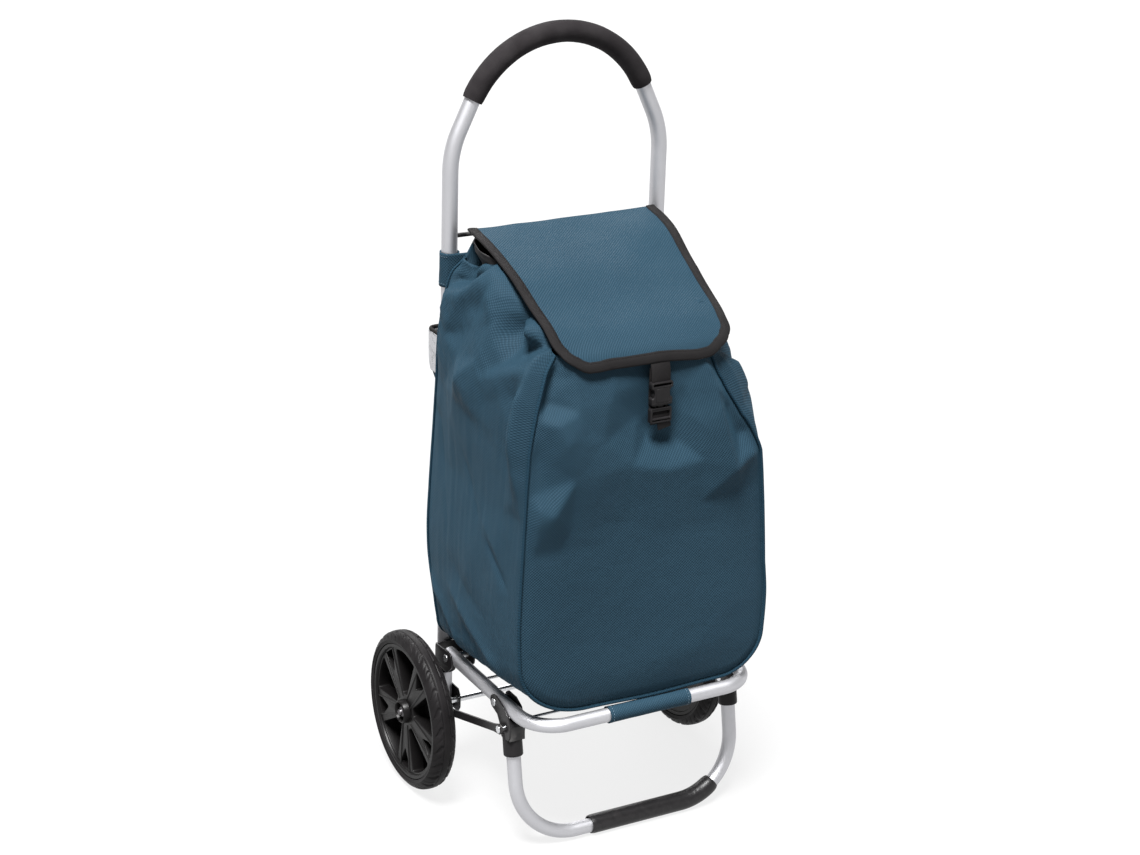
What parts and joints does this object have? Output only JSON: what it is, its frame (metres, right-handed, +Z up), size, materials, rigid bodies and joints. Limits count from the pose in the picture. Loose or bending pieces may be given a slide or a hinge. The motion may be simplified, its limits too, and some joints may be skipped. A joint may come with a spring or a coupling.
{
  "type": "shopping trolley on wheels",
  "caption": "Folding shopping trolley with a bent tube handle, soft flap-top bag, hinged platform and leg, rear pocket and spoked wheels.",
  "frame": {"origin": "on the ground, below the middle of the trolley's bounding box", "axes": "+Z up, -Y towards the front of the bag, +X to the right of someone who faces the front of the bag from outside"},
  "size_m": [0.4424, 0.3701, 0.9895],
  "materials": {
    "aluminium": "satin",
    "black_steel": "semi-gloss black",
    "zinc_steel": "zinc plated",
    "foam": "matte closed-cell foam",
    "black_plastic": "matte",
    "tyre_rubber": "matte",
    "blue_cloth": "woven polyester",
    "black_cloth": "woven webbing and nylon",
    "foil": "metallised film",
    "board": "matte"
  },
  "bodies": {
    "frame": {"handle_frame": "aluminium", "handle_grip": "foam", "top_rod": "black_steel", "rear_bracket_left": "black_steel", "rear_bracket_right": "black_steel", "axle_bracket_left": "black_steel", "axle_bracket_right": "black_steel", "platform_pin_left": "zinc_steel", "platform_pin_right": "zinc_steel", "bracket_rivet_left": "zinc_steel", "bracket_rivet_right": "zinc_steel", "upright_collar_left": "black_plastic", "upright_collar_right": "black_plastic", "axle": "zinc_steel", "axle_spacer_left": "black_plastic", "axle_spacer_right": "black_plastic", "axle_cap_left": "zinc_steel", "axle_cap_right": "zinc_steel", "bag_shell": "blue_cloth", "base_board": "board", "front_piping": "blue_cloth", "drawstring_collar": "black_cloth", "rear_pocket": "blue_cloth", "pocket_lining": "foil", "bag_loop_left": "blue_cloth", "bag_loop_right": "blue_cloth"},
    "flap": {"flap_panel": "blue_cloth", "flap_binding": "black_cloth", "flap_strap": "black_cloth", "buckle_socket": "black_plastic"},
    "plug": {"buckle_plug": "black_plastic", "lower_strap": "black_cloth"},
    "prong_left": {"buckle_prong_left": "black_plastic"},
    "prong_right": {"buckle_prong_right": "black_plastic"},
    "platform": {"platform_tube": "aluminium", "cross_wire_rear": "zinc_steel", "cross_wire_front": "zinc_steel", "bar_sleeve": "blue_cloth", "leg_pivot_left": "zinc_steel", "leg_pivot_right": "zinc_steel"},
    "leg": {"leg_tube": "aluminium", "foot_grip": "black_plastic", "leg_bracket_left": "black_steel", "leg_bracket_right": "black_steel", "leg_sleeve_left": "black_plastic", "leg_sleeve_right": "black_plastic", "leg_rivet_left": "zinc_steel", "leg_rivet_right": "zinc_steel"},
    "stay_left": {"stay_left": "black_steel", "stay_pin_left": "zinc_steel"},
    "stay_right": {"stay_right": "black_steel", "stay_pin_right": "zinc_steel"},
    "wheel_left": {"tyre_left": "tyre_rubber", "rim_left": "black_plastic", "wheel_bush_left": "zinc_steel"},
    "wheel_right": {"tyre_right": "tyre_rubber", "rim_right": "black_plastic", "wheel_bush_right": "zinc_steel"}
  },
  "joints": [
    {"name": "platform_fold", "type": "hinge", "parent": "frame", "child": "platform", "pos_m": [0, 0.05, 0.1853], "axis": [-1, 0, 0], "range_deg": [0, 90], "deforming": ["bag_shell", "front_piping", "base_board"]},
    {"name": "leg_fold", "type": "hinge", "parent": "platform", "child": "leg", "pos_m": [0, -0.084, 0.1853], "axis": [1, 0, 0], "range_deg": [0, 90]},
    {"name": "stay_left_fold", "type": "hinge", "parent": "frame", "child": "stay_left", "pos_m": [-0.1735, 0.08, 0.105], "axis": [-1, 0, 0], "range_deg": [0, 56.77]},
    {"name": "stay_right_fold", "type": "hinge", "parent": "frame", "child": "stay_right", "pos_m": [0.1735, 0.08, 0.105], "axis": [-1, 0, 0], "range_deg": [0, 56.77]},
    {"name": "wheel_left_spin", "type": "hinge", "parent": "frame", "child": "wheel_left", "pos_m": [-0.201, 0.08, 0.105], "axis": [1, 0, 0], "continuous": true},
    {"name": "wheel_right_spin", "type": "hinge", "parent": "frame", "child": "wheel_right", "pos_m": [0.201, 0.08, 0.105], "axis": [1, 0, 0], "continuous": true},
    {"name": "flap_open", "type": "hinge", "parent": "frame", "child": "flap", "pos_m": [0, 0.081, 0.742], "axis": [-1, 0, 0], "range_deg": [0, 150]},
    {"name": "buckle_release", "type": "slide", "parent": "flap", "child": "plug", "axis": [0, 0, -1], "range_m": [0, 0.03]},
    {"name": "prong_left_press", "type": "hinge", "parent": "plug", "child": "prong_left", "pos_m": [-0.0078, -0.172, 0.5808], "axis": [0, 1, 0], "range_deg": [0, 6], "stiffness_Nm_per_rad": 0.02},
    {"name": "prong_right_press", "type": "hinge", "parent": "plug", "child": "prong_right", "pos_m": [0.0078, -0.172, 0.5808], "axis": [0, -1, 0], "range_deg": [0, 6], "stiffness_Nm_per_rad": 0.02}
  ],
  "couplings": [
    {"joint": "leg_fold", "follows": "platform_fold", "ratio": 1},
    {"joint": "stay_left_fold", "follows": "platform_fold", "ratio": 0.63071},
    {"joint": "stay_right_fold", "follows": "platform_fold", "ratio": 0.63071}
  ]
}
